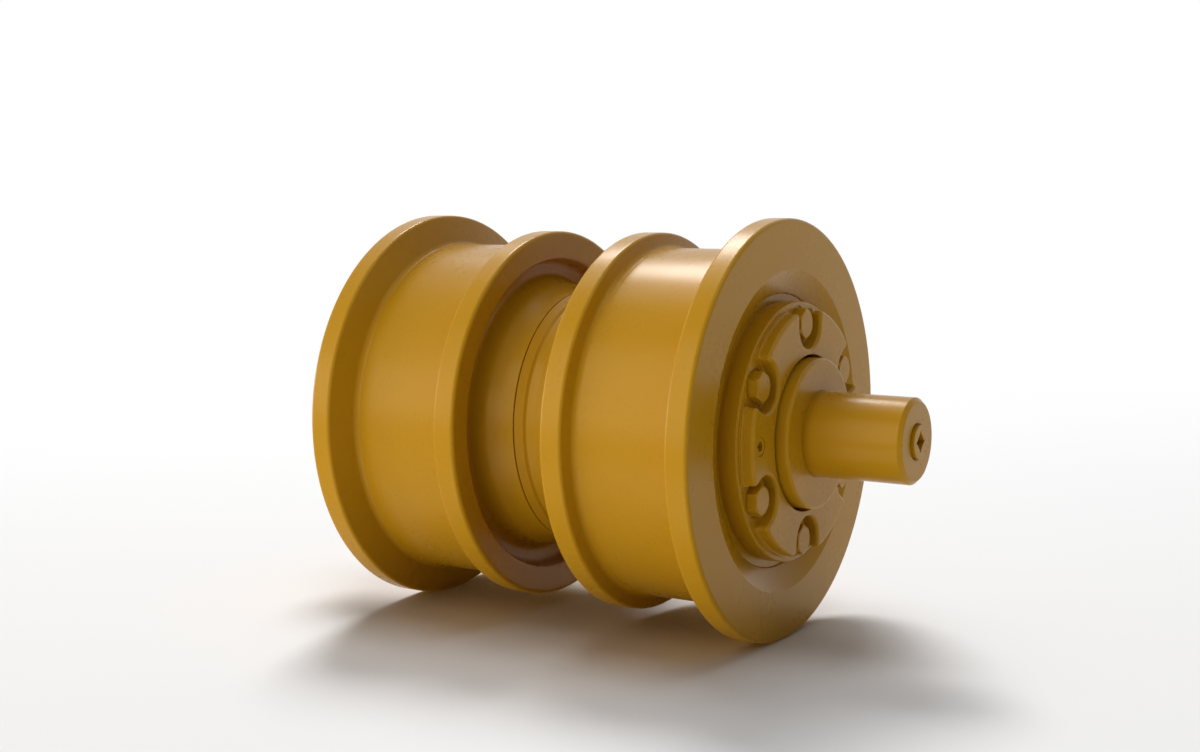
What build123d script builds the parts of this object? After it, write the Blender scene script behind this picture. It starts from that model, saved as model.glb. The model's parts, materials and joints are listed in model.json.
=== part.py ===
from build123d import *
from math import cos, radians, tan
import os

# Double flange track roller of a crawler machine. A shell welded from two
# forged halves turns on a fixed shaft. Bolted end covers carry the flanged
# bushings and, with the collars pressed on the shaft, the face seals.
# Lengths are in millimetres and angles in degrees.
# The origin is the middle of the shaft: Y is the shaft's axis, Z is up, and
# the end with the oil plug points to -Y. A station is a distance from the
# middle plane towards the plug end, and every half is drawn at that end.

# Shell, outside
TREAD_RADIUS = 160.0
FLANGE_HEIGHT = 28.0
INNER_FLANGE_HEIGHT = 14.0
SHELL_HALF_LENGTH = 195.9
FLANGE_RIM = 20.7
INNER_FLANGE_STATION = 44.8
INNER_FLANGE_RIM = 21.7
INNER_FACE_LEAN = 3.0
FLANGE_TAPER = 20.0
TREAD_FILLET = 6.0
RIM_CHAMFER = 2.2

# Shell, bore and weld, from the thrust flange outwards
SHELL_BORE_CLEARANCE = 10.0
SHELL_BORE_CHAMFER = 2.0
WELD_ROOT_HEIGHT = 6.0
WELD_ROOT_HALF_WIDTH = 2.0
WELD_DEPTH = 27.2
WELD_HALF_WIDTH = 10.9
WELD_CAP_HOLLOW = 2.5

# Shell, waist between the inner flanges, from the weld outwards
BAND_LENGTH = 8.0
BAND_SLOPE = 23.0
WAIST_SHOULDER_HEIGHT = 9.8
WAIST_SHOULDER_SETBACK = 1.8
WAIST_FLOOR_DRAFT = 4.4
WAIST_POCKET_WIDTH = 16.0
WAIST_POCKET_DEPTH = 20.3
WAIST_POCKET_CHAMFER = 5.0
WAIST_POCKET_DRAFT = 2.6

# Shell, end recess round the cover
RECESS_GAP = 6.4
RECESS_DEPTH = 11.4
RECESS_STEP = 1.4
RECESS_STEP_RUN = 1.0
RECESS_BROW_RUN = 12.4
RECESS_BROW_DEPTH = 4.3
RECESS_EDGE_RUN = 8.1
COVER_SEAT_HEIGHT = 3.9
COVER_SEAT_INSET = 1.2

# End cover
COVER_EDGE = 19.2
COVER_BASE = 14.7
COVER_LEDGE = 4.2
COVER_STEP = 3.0
PAD_INSET = 1.8
PAD_HEIGHT = 9.5
COVER_LIP = 6.0
COVER_CHAMFER = 1.0
PILOT_CLEARANCE = 0.05
POCKET_RADIUS = 21.5
SPOTFACE_RADIUS = 15.6
SPOTFACE_DEPTH = 1.0

# Cover bolts, M16
BOLT_COUNT = 6
BOLT_CIRCLE_WALL = 14.0
THREAD_DIAMETER = 16.0
THREAD_PLAY = 0.05
BOLT_LENGTH = 45.0
BOLT_HEAD_FLATS = 24.0
BOLT_HEAD_HEIGHT = 10.0
BOLT_HOLE_DIAMETER = 17.5
TAPPED_HOLE_SPARE = 8.0

# Jacking screws, which plug the tapped holes that push the cover off
JACKING_SCREW_COUNT = 2
JACKING_SCREW_CLEARANCE = 1.8
JACKING_SCREW_INSET = 0.4
JACKING_SOCKET_FLATS = 8.0
JACKING_SOCKET_DEPTH = 8.0

# Flanged bushing
JOURNAL_RADIUS = 45.0
RUNNING_CLEARANCE = 0.08
BUSHING_WALL = 7.92
BUSHING_LENGTH = 108.0
BUSHING_FLANGE = 8.2
BUSHING_FLANGE_HEIGHT = 17.0
OIL_GROOVE_COUNT = 4
OIL_GROOVE_WIDTH = 5.0
OIL_GROOVE_DEPTH = 1.6

# Dowel that keeps the bushing from turning in its cover
DOWEL_COUNT = 1
DOWEL_DIAMETER = 8.0
DOWEL_LENGTH = 22.0
DOWEL_EDGE = 9.0
DOWEL_INSET = 2.0

# Face seals: two lapped metal rings, each carried by a rubber load ring.
# Depths of the ring's section are counted from its lapped face.
SEAL_SETBACK = 2.0
SEAL_HALF_MOUTH = 1.25
SEAL_FACE_GAP = 0.3
SEAL_RING_BORE_CLEARANCE = 5.0
SEAL_RING_FACE_HEIGHT = 9.6
SEAL_RING_FACE_WIDTH = 5.0
SEAL_RING_NECK_WALL = 4.0
SEAL_RING_NECK_DEPTH = 7.0
SEAL_RING_TOE_WALL = 3.0
SEAL_RING_WIDTH = 15.4
SEAL_RING_FACE_CLEARANCE = 1.0
SEAL_POCKET_DRAFT = 2.4
SEAL_POCKET_END_CLEARANCE = 0.7
LOAD_RING_SETBACK = 0.4
LOAD_RING_WIDTH = 6.4
LOAD_RING_CLEARANCE = 0.15

# Collars pressed on the shaft
COLLAR_STAND_OUT = 10.7
COLLAR_CLEARANCE = 2.4
COLLAR_CHAMFER = 2.0
COLLAR_BORE_LENGTH = 30.0
COLLAR_HUB_CLEARANCE = 2.0
COLLAR_SEAT_DROP = 7.0
COLLAR_PIN_DIAMETER = 8.0
COLLAR_PIN_SETBACK = 16.7
COLLAR_PIN_LENGTH = 37.0
COLLAR_PIN_INSET = 0.6

# Rubber rings of square section that seal the cover and the collar
COVER_SEAL_SECTION = 4.0
COVER_SEAL_SETBACK = 22.0
COLLAR_SEAL_SECTION = 2.6
COLLAR_SEAL_SETBACK = 3.4
RUBBER_CLEARANCE = 0.1
RUBBER_GROOVE_SPARE = 0.8

# Shaft
SHAFT_END_RELIEF = 0.5
SHAFT_END_LENGTH = 89.3
SHAFT_END_CHAMFER = 3.5
COLLAR_SEAT_RUNOUT = 0.8
THRUST_FLANGE_OVERHANG = 2.0
THRUST_FLANGE_HALF_WIDTH = 18.7
THRUST_CLEARANCE = 0.3
SHAFT_EDGE_CHAMFER = 2.0
OIL_BORE_DIAMETER = 12.0
OIL_CROSS_DIAMETER = 8.0
OIL_BORE_OVERRUN = 12.0
CENTRE_DRILL_RADIUS = 6.0
CENTRE_DRILL_ANGLE = 60.0

# Oil plug in the shaft's end
PLUG_RADIUS = 14.6
PLUG_LENGTH = 26.0
PLUG_STAND_OUT = 3.0
PLUG_CHAMFER = 0.8
PLUG_MOUTH_CHAMFER = 1.6
PLUG_SOCKET_FLATS = 12.7
PLUG_SOCKET_DEPTH = 12.0
PLUG_SOCKET_RELIEF_RADIUS = 1.3

# Stations and radii that follow from the sizes above
recess_floor_station = SHELL_HALF_LENGTH - RECESS_DEPTH
cover_seat_station = recess_floor_station + COVER_SEAT_HEIGHT
base_front_station = cover_seat_station + COVER_BASE
step_front_station = base_front_station + COVER_STEP
pad_front_station = step_front_station + PAD_HEIGHT
bolt_seat_station = base_front_station - SPOTFACE_DEPTH
thrust_face_station = THRUST_FLANGE_HALF_WIDTH + THRUST_CLEARANCE
cover_inboard_station = thrust_face_station + BUSHING_FLANGE
seal_station = cover_seat_station - SEAL_SETBACK
cover_mouth_station = seal_station - SEAL_HALF_MOUTH
collar_rim_station = seal_station + SEAL_HALF_MOUTH
collar_front_station = pad_front_station + COLLAR_STAND_OUT
collar_inboard_station = collar_front_station - COLLAR_BORE_LENGTH
collar_pin_station = collar_front_station - COLLAR_PIN_SETBACK
shaft_half_length = collar_front_station + SHAFT_END_LENGTH
dowel_foot_depth = BUSHING_FLANGE - DOWEL_INSET
seal_pocket_depth = SEAL_FACE_GAP / 2 + SEAL_RING_WIDTH + SEAL_POCKET_END_CLEARANCE - SEAL_HALF_MOUTH
jacking_screw_front = pad_front_station - JACKING_SCREW_INSET
jacking_screw_length = jacking_screw_front - cover_seat_station - JACKING_SCREW_CLEARANCE

# Running gear, from the journal outwards
collar_seat_radius = JOURNAL_RADIUS - COLLAR_SEAT_DROP
shaft_end_radius = collar_seat_radius - SHAFT_END_RELIEF
bushing_bore_radius = JOURNAL_RADIUS + RUNNING_CLEARANCE
bushing_radius = bushing_bore_radius + BUSHING_WALL
bushing_flange_radius = bushing_radius + BUSHING_FLANGE_HEIGHT
dowel_circle_radius = bushing_flange_radius - DOWEL_EDGE
thrust_flange_radius = bushing_flange_radius + THRUST_FLANGE_OVERHANG
shell_bore_radius = thrust_flange_radius + SHELL_BORE_CLEARANCE
pilot_radius = shell_bore_radius - PILOT_CLEARANCE
seal_ring_bore_radius = JOURNAL_RADIUS + SEAL_RING_BORE_CLEARANCE
seal_ring_face_radius = seal_ring_bore_radius + SEAL_RING_FACE_HEIGHT
seal_ring_neck_radius = seal_ring_bore_radius + SEAL_RING_NECK_WALL
seal_ring_toe_radius = seal_ring_bore_radius + SEAL_RING_TOE_WALL
seal_pocket_floor_radius = seal_ring_face_radius + SEAL_RING_FACE_CLEARANCE
seal_pocket_mouth_radius = seal_pocket_floor_radius + SEAL_POCKET_DRAFT
cover_bore_radius = seal_pocket_mouth_radius + COVER_LIP
collar_radius = cover_bore_radius - COLLAR_CLEARANCE
collar_hub_radius = seal_ring_bore_radius - COLLAR_HUB_CLEARANCE

# End cover and recess, from the shell's bore outwards
bolt_circle_radius = shell_bore_radius + BOLT_CIRCLE_WALL
cover_radius = bolt_circle_radius + COVER_EDGE
cover_step_radius = cover_radius - COVER_LEDGE
pad_radius = cover_step_radius - PAD_INSET
recess_foot_radius = cover_radius + RECESS_GAP
recess_step_radius = recess_foot_radius + RECESS_STEP_RUN
recess_brow_radius = recess_step_radius + RECESS_BROW_RUN
recess_edge_radius = recess_brow_radius + RECESS_EDGE_RUN

# Weld and waist, from the shell's bore outwards
weld_root_radius = shell_bore_radius + WELD_ROOT_HEIGHT
weld_edge_radius = weld_root_radius + WELD_DEPTH
weld_cap_radius = weld_edge_radius - WELD_CAP_HOLLOW
waist_shoulder_radius = weld_edge_radius + WAIST_SHOULDER_HEIGHT
waist_pocket_floor_radius = waist_shoulder_radius + WAIST_FLOOR_DRAFT
waist_pocket_top_radius = waist_pocket_floor_radius + WAIST_POCKET_WIDTH
waist_edge_radius = waist_pocket_top_radius + WAIST_POCKET_DRAFT

# Flanges, from the tread outwards
flange_radius = TREAD_RADIUS + FLANGE_HEIGHT
inner_flange_radius = TREAD_RADIUS + INNER_FLANGE_HEIGHT

# Each half of the roller: a name for its end, and whether it is mirrored
ENDS = {"plug_end": False, "blind_end": True}


def at(radius, station):
    """Point of a half section in the XY plane: X is the radius, the plug end is at -Y."""
    return (radius, -station)


def end_plane(station):
    """Plane across the shaft that faces the plug end, with X to the right and Z as its Y."""
    return Plane(origin=(0, -station, 0), x_dir=(1, 0, 0), z_dir=(0, -1, 0))


def corner(sketch, radius, station):
    """The corner of a half section nearest to a radius and a station."""
    return sketch.vertices().sort_by_distance(at(radius, station))[0]


def front_edges(part, station):
    """The edges of the face that lies across the shaft at a station."""
    faces = part.faces().filter_by(Axis.Y)
    return faces.filter_by_position(Axis.Y, -station - 0.01, -station + 0.01).edges()


def shell_half():
    """Forged half of the shell: two flanges, a tread, the waist and the end recess."""
    taper = tan(radians(FLANGE_TAPER))
    rim_station = SHELL_HALF_LENGTH - FLANGE_RIM
    inner_rim_station = INNER_FLANGE_STATION + INNER_FLANGE_RIM
    outer_foot = rim_station - (flange_radius - TREAD_RADIUS) * taper
    inner_foot = inner_rim_station + (inner_flange_radius - TREAD_RADIUS) * taper
    pocket_station = INNER_FLANGE_STATION + WAIST_POCKET_DEPTH
    shoulder_station = INNER_FLANGE_STATION - WAIST_SHOULDER_SETBACK
    band_station = WELD_HALF_WIDTH + BAND_LENGTH
    band_radius = weld_edge_radius + BAND_LENGTH * tan(radians(BAND_SLOPE))
    seat_radius = cover_radius - COVER_SEAT_INSET
    with BuildPart() as half:
        with BuildSketch(Plane.XY) as section:
            with BuildLine():
                Polyline(
                    at(shell_bore_radius, cover_seat_station),
                    at(seat_radius, cover_seat_station),
                    at(seat_radius, recess_floor_station),
                    at(recess_foot_radius, recess_floor_station),
                    at(recess_step_radius, recess_floor_station + RECESS_STEP),
                    at(recess_brow_radius, SHELL_HALF_LENGTH - RECESS_BROW_DEPTH),
                    at(recess_edge_radius, SHELL_HALF_LENGTH),
                    at(flange_radius, SHELL_HALF_LENGTH),
                    at(flange_radius, rim_station),
                    at(TREAD_RADIUS, outer_foot),
                    at(TREAD_RADIUS, inner_foot),
                    at(inner_flange_radius, inner_rim_station),
                    at(inner_flange_radius, INNER_FLANGE_STATION),
                    at(waist_edge_radius, INNER_FLANGE_STATION + INNER_FACE_LEAN),
                    at(waist_pocket_top_radius, pocket_station),
                    at(waist_pocket_floor_radius, pocket_station),
                    at(waist_shoulder_radius, shoulder_station),
                    at(band_radius, band_station),
                    at(weld_edge_radius, WELD_HALF_WIDTH),
                    at(weld_root_radius, WELD_ROOT_HALF_WIDTH),
                    at(weld_root_radius, 0),
                    at(shell_bore_radius, 0),
                    close=True,
                )
            make_face()
            rims = [
                corner(section, flange_radius, SHELL_HALF_LENGTH),
                corner(section, flange_radius, rim_station),
                corner(section, inner_flange_radius, inner_rim_station),
                corner(section, inner_flange_radius, INNER_FLANGE_STATION),
            ]
            chamfer(rims, RIM_CHAMFER)
            tread_feet = [
                corner(section, TREAD_RADIUS, outer_foot),
                corner(section, TREAD_RADIUS, inner_foot),
            ]
            fillet(tread_feet, TREAD_FILLET)
            pocket_corners = [
                corner(section, waist_pocket_top_radius, pocket_station),
                corner(section, waist_pocket_floor_radius, pocket_station),
            ]
            chamfer(pocket_corners, WAIST_POCKET_CHAMFER)
            chamfer(corner(section, shell_bore_radius, cover_seat_station), SHELL_BORE_CHAMFER)
        revolve(axis=Axis.Y)
        with Locations(end_plane(cover_seat_station)):
            with PolarLocations(bolt_circle_radius, BOLT_COUNT, start_angle=90):
                Hole(
                    THREAD_DIAMETER / 2 + THREAD_PLAY,
                    BOLT_LENGTH - (bolt_seat_station - cover_seat_station) + TAPPED_HOLE_SPARE,
                )
    return half


def centre_weld():
    """Ring of weld metal that joins the two halves, with a hollow cap."""
    with BuildPart() as weld:
        with BuildSketch(Plane.XY):
            with BuildLine():
                cap = ThreePointArc(
                    at(weld_edge_radius, WELD_HALF_WIDTH),
                    at(weld_cap_radius, 0),
                    at(weld_edge_radius, -WELD_HALF_WIDTH),
                )
                Polyline(
                    cap @ 1,
                    at(weld_root_radius, -WELD_ROOT_HALF_WIDTH),
                    at(weld_root_radius, WELD_ROOT_HALF_WIDTH),
                    cap @ 0,
                )
            make_face()
        revolve(axis=Axis.Y)
    return weld


def end_cover():
    """Bolted cover whose long spigot carries the bushing, and whose bore holds the seal."""
    groove_station = cover_seat_station - COVER_SEAL_SETBACK
    groove_half_width = (COVER_SEAL_SECTION + RUBBER_GROOVE_SPARE) / 2
    groove_radius = shell_bore_radius - COVER_SEAL_SECTION - 2 * RUBBER_CLEARANCE
    pocket_floor = cover_mouth_station - seal_pocket_depth
    with BuildPart() as cover:
        with BuildSketch(Plane.XY) as section:
            with BuildLine():
                Polyline(
                    at(cover_bore_radius, pad_front_station),
                    at(pad_radius, pad_front_station),
                    at(pad_radius, step_front_station),
                    at(cover_step_radius, step_front_station),
                    at(cover_step_radius, base_front_station),
                    at(cover_radius, base_front_station),
                    at(cover_radius, cover_seat_station),
                    at(pilot_radius, cover_seat_station),
                    at(pilot_radius, groove_station + groove_half_width),
                    at(groove_radius, groove_station + groove_half_width),
                    at(groove_radius, groove_station - groove_half_width),
                    at(pilot_radius, groove_station - groove_half_width),
                    at(pilot_radius, cover_inboard_station),
                    at(bushing_radius, cover_inboard_station),
                    at(bushing_radius, pocket_floor),
                    at(seal_pocket_floor_radius, pocket_floor),
                    at(seal_pocket_mouth_radius, cover_mouth_station),
                    at(cover_bore_radius, cover_mouth_station),
                    close=True,
                )
            make_face()
            chamfer(corner(section, cover_radius, base_front_station), COVER_CHAMFER)
            chamfer(corner(section, pilot_radius, cover_inboard_station), SHELL_BORE_CHAMFER)
        revolve(axis=Axis.Y)
        with BuildSketch(end_plane(pad_front_station)):
            with PolarLocations(bolt_circle_radius, BOLT_COUNT, start_angle=90):
                Circle(POCKET_RADIUS)
                Rectangle(
                    cover_radius,
                    2 * POCKET_RADIUS,
                    align=(Align.MIN, Align.CENTER),
                )
        extrude(amount=base_front_station - pad_front_station, mode=Mode.SUBTRACT)
        chamfer(front_edges(cover, pad_front_station), COVER_CHAMFER)
        with Locations(end_plane(base_front_station)):
            with PolarLocations(bolt_circle_radius, BOLT_COUNT, start_angle=90):
                CounterBoreHole(
                    BOLT_HOLE_DIAMETER / 2,
                    SPOTFACE_RADIUS,
                    SPOTFACE_DEPTH,
                    COVER_BASE,
                )
        with Locations(end_plane(pad_front_station)):
            with PolarLocations(bolt_circle_radius, JACKING_SCREW_COUNT):
                Hole(
                    THREAD_DIAMETER / 2 + THREAD_PLAY,
                    pad_front_station - cover_seat_station,
                )
        with BuildSketch(end_plane(cover_inboard_station)):
            with PolarLocations(dowel_circle_radius, DOWEL_COUNT):
                Circle(DOWEL_DIAMETER / 2)
        extrude(amount=DOWEL_LENGTH - dowel_foot_depth, mode=Mode.SUBTRACT)
    return cover


def cover_bolts():
    """Hexagon bolts of one cover, with a corner of each head pointing outwards."""
    with BuildPart() as bolt:
        with BuildSketch(Plane.XY):
            RegularPolygon(BOLT_HEAD_FLATS / 2, 6, major_radius=False)
        extrude(amount=BOLT_HEAD_HEIGHT)
        Cylinder(
            THREAD_DIAMETER / 2,
            BOLT_LENGTH,
            align=(Align.CENTER, Align.CENTER, Align.MAX),
        )
    with BuildPart() as bolts:
        with Locations(end_plane(bolt_seat_station)):
            with PolarLocations(bolt_circle_radius, BOLT_COUNT, start_angle=90):
                add(bolt.part)
    return bolts


def jacking_screws():
    """Hexagon socket screws that close the tapped holes of a cover."""
    with BuildPart() as screw:
        Cylinder(
            THREAD_DIAMETER / 2,
            jacking_screw_length,
            align=(Align.CENTER, Align.CENTER, Align.MAX),
        )
        with BuildSketch(Plane.XY):
            RegularPolygon(JACKING_SOCKET_FLATS / 2, 6, major_radius=False)
        extrude(amount=-JACKING_SOCKET_DEPTH, mode=Mode.SUBTRACT)
    with BuildPart() as screws:
        with Locations(end_plane(jacking_screw_front)):
            with PolarLocations(bolt_circle_radius, JACKING_SCREW_COUNT):
                add(screw.part)
    return screws


def bushing():
    """Flanged bushing: the bore runs on the journal, the flange takes the thrust."""
    end_station = thrust_face_station + BUSHING_LENGTH
    with BuildPart() as bush:
        with BuildSketch(Plane.XY):
            with BuildLine():
                Polyline(
                    at(bushing_bore_radius, thrust_face_station),
                    at(bushing_flange_radius, thrust_face_station),
                    at(bushing_flange_radius, cover_inboard_station),
                    at(bushing_radius, cover_inboard_station),
                    at(bushing_radius, end_station),
                    at(bushing_bore_radius, end_station),
                    close=True,
                )
            make_face()
        revolve(axis=Axis.Y)
        with BuildSketch(end_plane(thrust_face_station)):
            with PolarLocations(0, OIL_GROOVE_COUNT, start_angle=180 / OIL_GROOVE_COUNT):
                Rectangle(
                    bushing_flange_radius + OIL_GROOVE_WIDTH,
                    OIL_GROOVE_WIDTH,
                    align=(Align.MIN, Align.CENTER),
                )
        extrude(amount=OIL_GROOVE_DEPTH, mode=Mode.SUBTRACT)
        with BuildSketch(end_plane(thrust_face_station)):
            with PolarLocations(dowel_circle_radius, DOWEL_COUNT):
                Circle(DOWEL_DIAMETER / 2)
        extrude(amount=BUSHING_FLANGE, mode=Mode.SUBTRACT)
    return bush


def bushing_dowel():
    """Pin through the bushing's flange into the cover."""
    with BuildPart() as dowel:
        with BuildSketch(end_plane(thrust_face_station + DOWEL_INSET)):
            with PolarLocations(dowel_circle_radius, DOWEL_COUNT):
                Circle(DOWEL_DIAMETER / 2)
        extrude(amount=DOWEL_LENGTH)
    return dowel


def square_ring(section, inner_radius, station):
    """Rubber ring of square section that lies on a radius, as packed in its groove."""
    with BuildPart() as ring:
        with BuildSketch(Plane.XY):
            with Locations(at(inner_radius + section / 2, station)):
                Rectangle(section, section)
        revolve(axis=Axis.Y)
    return ring


def seal_depth(depth, side):
    """Station of a depth behind a lapped face. Side is 1 in the collar and -1 in the cover."""
    return seal_station + side * (SEAL_FACE_GAP / 2 + depth)


def neck_radius(depth):
    """Radius of a metal seal ring's tapered neck at a depth behind its face."""
    slope = (seal_ring_neck_radius - seal_ring_toe_radius) / (SEAL_RING_WIDTH - SEAL_RING_NECK_DEPTH)
    return seal_ring_neck_radius - slope * (depth - SEAL_RING_NECK_DEPTH)


def pocket_radius(depth):
    """Radius of a seal pocket's tapered wall at a depth behind the ring's face."""
    slope = SEAL_POCKET_DRAFT / seal_pocket_depth
    return seal_pocket_mouth_radius - slope * (depth + SEAL_FACE_GAP / 2 - SEAL_HALF_MOUTH)


def metal_seal_ring(side):
    """Lapped ring of the face seal, with a tapered neck behind its face."""
    with BuildPart() as ring:
        with BuildSketch(Plane.XY):
            with BuildLine():
                Polyline(
                    at(seal_ring_bore_radius, seal_depth(0, side)),
                    at(seal_ring_face_radius, seal_depth(0, side)),
                    at(seal_ring_face_radius, seal_depth(SEAL_RING_FACE_WIDTH, side)),
                    at(seal_ring_neck_radius, seal_depth(SEAL_RING_NECK_DEPTH, side)),
                    at(seal_ring_toe_radius, seal_depth(SEAL_RING_WIDTH, side)),
                    at(seal_ring_bore_radius, seal_depth(SEAL_RING_WIDTH, side)),
                    close=True,
                )
            make_face()
        revolve(axis=Axis.Y)
    return ring


def load_ring(side):
    """Rubber ring squeezed between a metal seal ring's neck and the wall of its pocket."""
    near = SEAL_RING_NECK_DEPTH + LOAD_RING_SETBACK
    far = near + LOAD_RING_WIDTH
    with BuildPart() as ring:
        with BuildSketch(Plane.XY):
            with BuildLine():
                Polyline(
                    at(neck_radius(near) + LOAD_RING_CLEARANCE, seal_depth(near, side)),
                    at(neck_radius(far) + LOAD_RING_CLEARANCE, seal_depth(far, side)),
                    at(pocket_radius(far) - LOAD_RING_CLEARANCE, seal_depth(far, side)),
                    at(pocket_radius(near) - LOAD_RING_CLEARANCE, seal_depth(near, side)),
                    close=True,
                )
            make_face()
        revolve(axis=Axis.Y)
    return ring


def collar():
    """Collar pressed and pinned on the shaft, with the pocket for the fixed seal ring."""
    groove_station = collar_inboard_station + COLLAR_SEAL_SETBACK
    groove_half_width = (COLLAR_SEAL_SECTION + RUBBER_GROOVE_SPARE) / 2
    groove_radius = collar_seat_radius + COLLAR_SEAL_SECTION + 2 * RUBBER_CLEARANCE
    pocket_floor = collar_rim_station + seal_pocket_depth
    with BuildPart() as ring:
        with BuildSketch(Plane.XY) as section:
            with BuildLine():
                Polyline(
                    at(collar_seat_radius, collar_front_station),
                    at(collar_radius, collar_front_station),
                    at(collar_radius, collar_rim_station),
                    at(seal_pocket_mouth_radius, collar_rim_station),
                    at(seal_pocket_floor_radius, pocket_floor),
                    at(collar_hub_radius, pocket_floor),
                    at(collar_hub_radius, collar_inboard_station),
                    at(collar_seat_radius, collar_inboard_station),
                    at(collar_seat_radius, groove_station - groove_half_width),
                    at(groove_radius, groove_station - groove_half_width),
                    at(groove_radius, groove_station + groove_half_width),
                    at(collar_seat_radius, groove_station + groove_half_width),
                    close=True,
                )
            make_face()
            chamfer(corner(section, collar_radius, collar_front_station), COLLAR_CHAMFER)
        revolve(axis=Axis.Y)
        with Locations((0, -collar_pin_station, 0)):
            Cylinder(
                COLLAR_PIN_DIAMETER / 2,
                2 * collar_radius,
                align=(Align.CENTER, Align.CENTER, Align.MIN),
                mode=Mode.SUBTRACT,
            )
    return ring


def collar_pin():
    """Radial pin that holds a collar on the shaft."""
    with BuildPart() as pin:
        with Locations((0, -collar_pin_station, collar_radius - COLLAR_PIN_INSET)):
            Cylinder(
                COLLAR_PIN_DIAMETER / 2,
                COLLAR_PIN_LENGTH,
                align=(Align.CENTER, Align.CENTER, Align.MAX),
            )
    return pin


def shaft():
    """Shaft with a thrust flange in the middle, two journals and an oil bore."""
    seat_end_station = collar_front_station + COLLAR_SEAT_RUNOUT
    pin_foot_radius = collar_radius - COLLAR_PIN_INSET - COLLAR_PIN_LENGTH
    plug_foot_station = shaft_half_length + PLUG_STAND_OUT - PLUG_LENGTH
    with BuildPart() as axle:
        with BuildSketch(Plane.XY) as section:
            with BuildLine():
                Polyline(
                    at(0, shaft_half_length),
                    at(shaft_end_radius, shaft_half_length),
                    at(shaft_end_radius, seat_end_station),
                    at(collar_seat_radius, seat_end_station),
                    at(collar_seat_radius, collar_inboard_station),
                    at(JOURNAL_RADIUS, collar_inboard_station),
                    at(JOURNAL_RADIUS, THRUST_FLANGE_HALF_WIDTH),
                    at(thrust_flange_radius, THRUST_FLANGE_HALF_WIDTH),
                    at(thrust_flange_radius, 0),
                    at(0, 0),
                    close=True,
                )
            make_face()
            chamfer(corner(section, shaft_end_radius, shaft_half_length), SHAFT_END_CHAMFER)
            chamfered = [
                corner(section, JOURNAL_RADIUS, collar_inboard_station),
                corner(section, thrust_flange_radius, THRUST_FLANGE_HALF_WIDTH),
            ]
            chamfer(chamfered, SHAFT_EDGE_CHAMFER)
        revolve(axis=Axis.Y)
        mirror(about=Plane.XZ)
        for station in (collar_pin_station, -collar_pin_station):
            with Locations((0, -station, pin_foot_radius)):
                Cylinder(
                    COLLAR_PIN_DIAMETER / 2,
                    collar_seat_radius,
                    align=(Align.CENTER, Align.CENTER, Align.MIN),
                    mode=Mode.SUBTRACT,
                )
        Cylinder(
            OIL_CROSS_DIAMETER / 2,
            thrust_flange_radius + OIL_CROSS_DIAMETER,
            align=(Align.CENTER, Align.CENTER, Align.MIN),
            mode=Mode.SUBTRACT,
        )
        with Locations(end_plane(shaft_half_length)):
            Hole(OIL_BORE_DIAMETER / 2, shaft_half_length + OIL_BORE_OVERRUN)
            Hole(PLUG_RADIUS + THREAD_PLAY, shaft_half_length - plug_foot_station)
        mouth = axle.edges().filter_by(GeomType.CIRCLE).sort_by(Axis.Y).group_by(Axis.Y)[0]
        chamfer(mouth.sort_by(SortBy.RADIUS)[0], PLUG_MOUTH_CHAMFER)
        with BuildSketch(Plane.XY):
            with BuildLine():
                drill_depth = CENTRE_DRILL_RADIUS / tan(radians(CENTRE_DRILL_ANGLE / 2))
                Polyline(
                    at(0, -shaft_half_length),
                    at(CENTRE_DRILL_RADIUS, -shaft_half_length),
                    at(0, drill_depth - shaft_half_length),
                    close=True,
                )
            make_face()
        revolve(axis=Axis.Y, mode=Mode.SUBTRACT)
    return axle


def shaft_plug():
    """Oil plug with a square socket whose corners point up, down and sideways."""
    corner_reach = PLUG_SOCKET_FLATS / 2 / cos(radians(45))
    with BuildPart() as plug:
        with Locations(end_plane(shaft_half_length + PLUG_STAND_OUT)):
            Cylinder(
                PLUG_RADIUS,
                PLUG_LENGTH,
                align=(Align.CENTER, Align.CENTER, Align.MAX),
            )
        rims = plug.edges().filter_by(GeomType.CIRCLE)
        chamfer(rims, PLUG_CHAMFER)
        with BuildSketch(end_plane(shaft_half_length + PLUG_STAND_OUT)):
            Rectangle(PLUG_SOCKET_FLATS, PLUG_SOCKET_FLATS, rotation=45)
            with PolarLocations(corner_reach - PLUG_SOCKET_RELIEF_RADIUS, 4):
                Circle(PLUG_SOCKET_RELIEF_RADIUS)
        extrude(amount=-PLUG_SOCKET_DEPTH, mode=Mode.SUBTRACT)
    return plug


os.makedirs("parts", exist_ok=True)

# Pieces that both ends have, each with its mirror image
PAIRED_PIECES = {
    "shell_half": shell_half(),
    "end_cover": end_cover(),
    "cover_bolts": cover_bolts(),
    "jacking_screws": jacking_screws(),
    "bushing": bushing(),
    "bushing_dowel": bushing_dowel(),
    "cover_seal": square_ring(
        COVER_SEAL_SECTION,
        shell_bore_radius - RUBBER_CLEARANCE - COVER_SEAL_SECTION,
        cover_seat_station - COVER_SEAL_SETBACK,
    ),
    "rotating_seal_ring": metal_seal_ring(-1),
    "rotating_load_ring": load_ring(-1),
    "fixed_seal_ring": metal_seal_ring(1),
    "fixed_load_ring": load_ring(1),
    "collar": collar(),
    "collar_pin": collar_pin(),
    "collar_seal": square_ring(
        COLLAR_SEAL_SECTION,
        collar_seat_radius + RUBBER_CLEARANCE,
        collar_inboard_station + COLLAR_SEAL_SETBACK,
    ),
}
for name, piece in PAIRED_PIECES.items():
    for end, mirrored in ENDS.items():
        with BuildPart() as finished:
            add(piece.part)
            if mirrored:
                mirror(about=Plane.XZ, mode=Mode.REPLACE)
        finished.part.label = f"{name}_{end}"
        export_step(finished.part, f"parts/{name}_{end}.step")

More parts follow.
